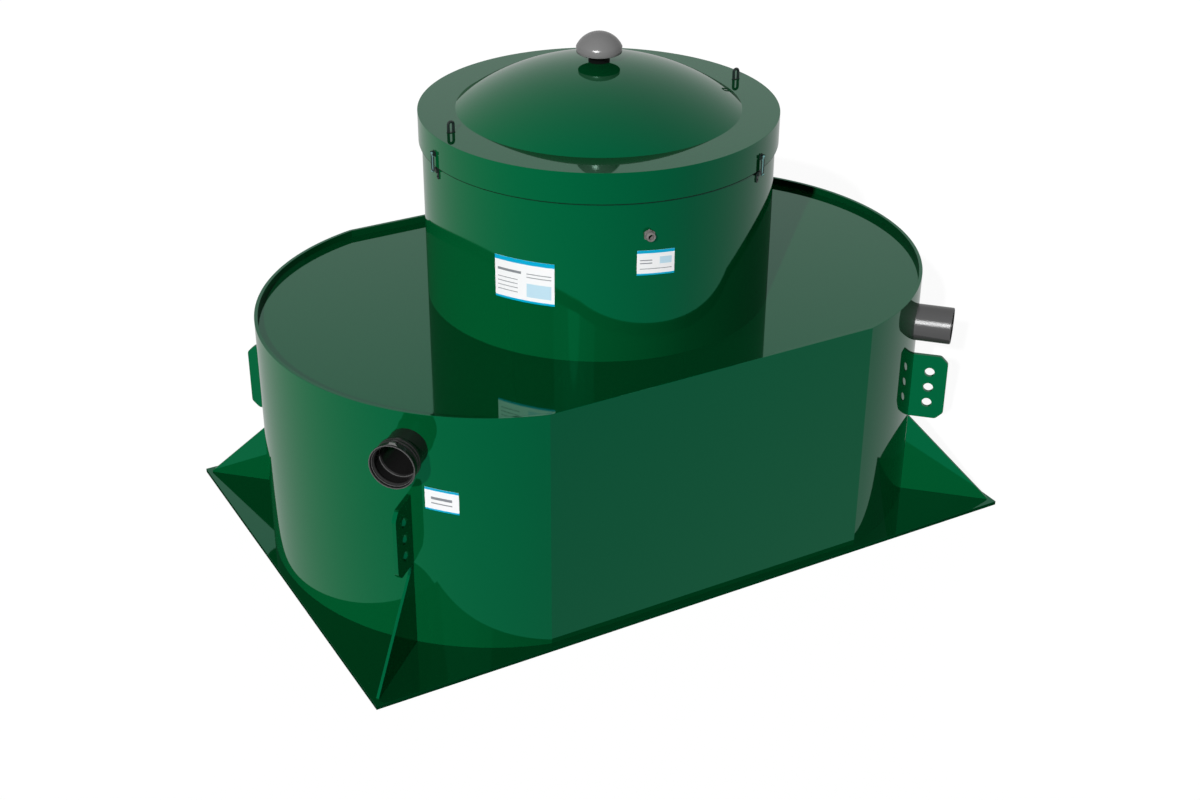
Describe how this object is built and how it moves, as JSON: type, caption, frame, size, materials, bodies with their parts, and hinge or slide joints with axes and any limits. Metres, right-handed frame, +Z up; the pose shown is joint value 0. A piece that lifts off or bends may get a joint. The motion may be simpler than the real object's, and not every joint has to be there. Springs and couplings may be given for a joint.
{
  "type": "biological sewage treatment unit",
  "caption": "Plastic sewage treatment tank with round ends, a central round neck and a lift-off domed lid with a vent cap.",
  "frame": {"origin": "middle of the base plate's underside", "axes": "+X along the tank towards the outlet end, the front with inlet and outlet at -Y, +Z up"},
  "size_m": [2.086, 1.366, 1.4815],
  "materials": {
    "green_plastic": "glossy welded polypropylene sheet",
    "zinc_steel": "zinc plated",
    "cap_plastic": "satin",
    "pipe_plastic": "smooth pipe grey",
    "black_plastic": "satin",
    "seal_rubber": "matt"
  },
  "bodies": {
    "tank": {"base_plate": "green_plastic", "front_wall": "green_plastic", "back_wall": "green_plastic", "right_end_front_wall": "green_plastic", "right_end_back_wall": "green_plastic", "left_end_back_wall": "green_plastic", "left_end_front_wall": "green_plastic", "right_deck": "green_plastic", "left_deck": "green_plastic", "neck_right_wall": "green_plastic", "neck_back_wall": "green_plastic", "neck_left_wall": "green_plastic", "neck_front_wall": "green_plastic", "inlet_socket": "black_plastic", "inlet_seal": "seal_rubber", "outlet_pipe": "pipe_plastic", "cable_gland": "cap_plastic", "lug_front_left": "green_plastic", "gusset_front_left": "green_plastic", "lug_front_right": "green_plastic", "gusset_front_right": "green_plastic", "lug_back_right": "green_plastic", "gusset_back_right": "green_plastic", "lug_back_left": "green_plastic", "gusset_back_left": "green_plastic", "latch_keeper_left": "zinc_steel", "latch_keeper_front": "zinc_steel", "latch_keeper_back": "zinc_steel"},
    "lid": {"lid_plate": "green_plastic", "lid_dome": "green_plastic", "vent_pipe": "black_plastic", "vent_cap": "cap_plastic", "lid_eye_left": "zinc_steel", "lid_eye_right": "zinc_steel", "lid_skirt_right": "green_plastic", "lid_skirt_back": "green_plastic", "lid_skirt_left": "green_plastic", "lid_skirt_front": "green_plastic", "latch_bracket_left": "zinc_steel", "latch_bracket_front": "zinc_steel", "latch_bracket_back": "zinc_steel"},
    "latch_left": {"latch_strap_left": "zinc_steel"},
    "latch_front": {"latch_strap_front": "zinc_steel"},
    "latch_back": {"latch_strap_back": "zinc_steel"}
  },
  "joints": [
    {"name": "lid_lift", "type": "slide", "parent": "tank", "child": "lid", "axis": [0, 0, 1], "range_m": [0, 0.25]},
    {"name": "latch_left_hinge", "type": "hinge", "parent": "lid", "child": "latch_left", "pos_m": [-0.516, 0, 1.22], "axis": [0, 1, 0], "range_deg": [0, 110]},
    {"name": "latch_front_hinge", "type": "hinge", "parent": "lid", "child": "latch_front", "pos_m": [0.258, -0.44687, 1.22], "axis": [-0.866, -0.5, 0], "range_deg": [0, 110]},
    {"name": "latch_back_hinge", "type": "hinge", "parent": "lid", "child": "latch_back", "pos_m": [0.258, 0.44687, 1.22], "axis": [0.866, -0.5, 0], "range_deg": [0, 110]}
  ]
}
